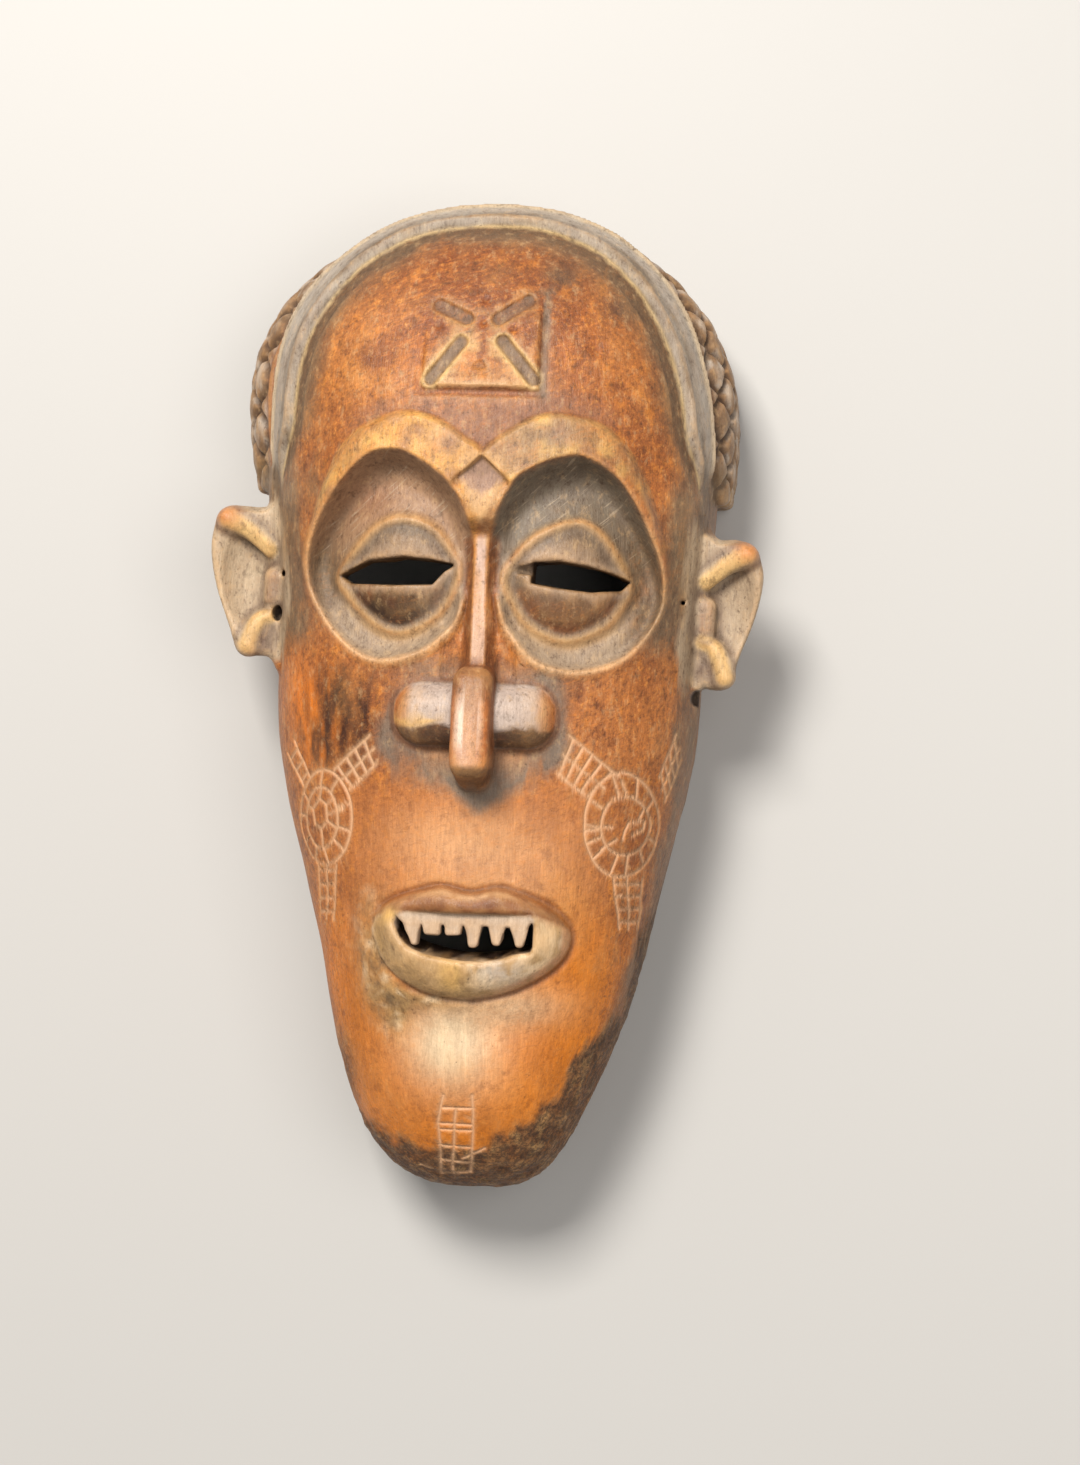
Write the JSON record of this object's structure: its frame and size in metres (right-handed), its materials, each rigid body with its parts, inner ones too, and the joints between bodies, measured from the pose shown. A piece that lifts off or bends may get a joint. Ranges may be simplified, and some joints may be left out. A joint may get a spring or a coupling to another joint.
{
  "type": "carved wooden face mask",
  "caption": "Long carved wooden face mask with slit eyes in deep sockets, open mouth with pointed teeth, headband, quilted hair and pierced sides, hollow at the back.",
  "frame": {"origin": "centre of the footprint, on the surface that the back rim rests on", "axes": "+Y towards the crown, +X to the right of someone looking at the face, +Z out of the face; the mask lies on its back rim"},
  "size_m": [0.22, 0.3999, 0.134],
  "materials": {
    "wood": "dark red-brown carved wood with a rubbed, half-glossy patina, paler on worn ridges and dusty grey in the recesses"
  },
  "bodies": {
    "root": {"carved_mask": "wood"}
  },
  "joints": []
}
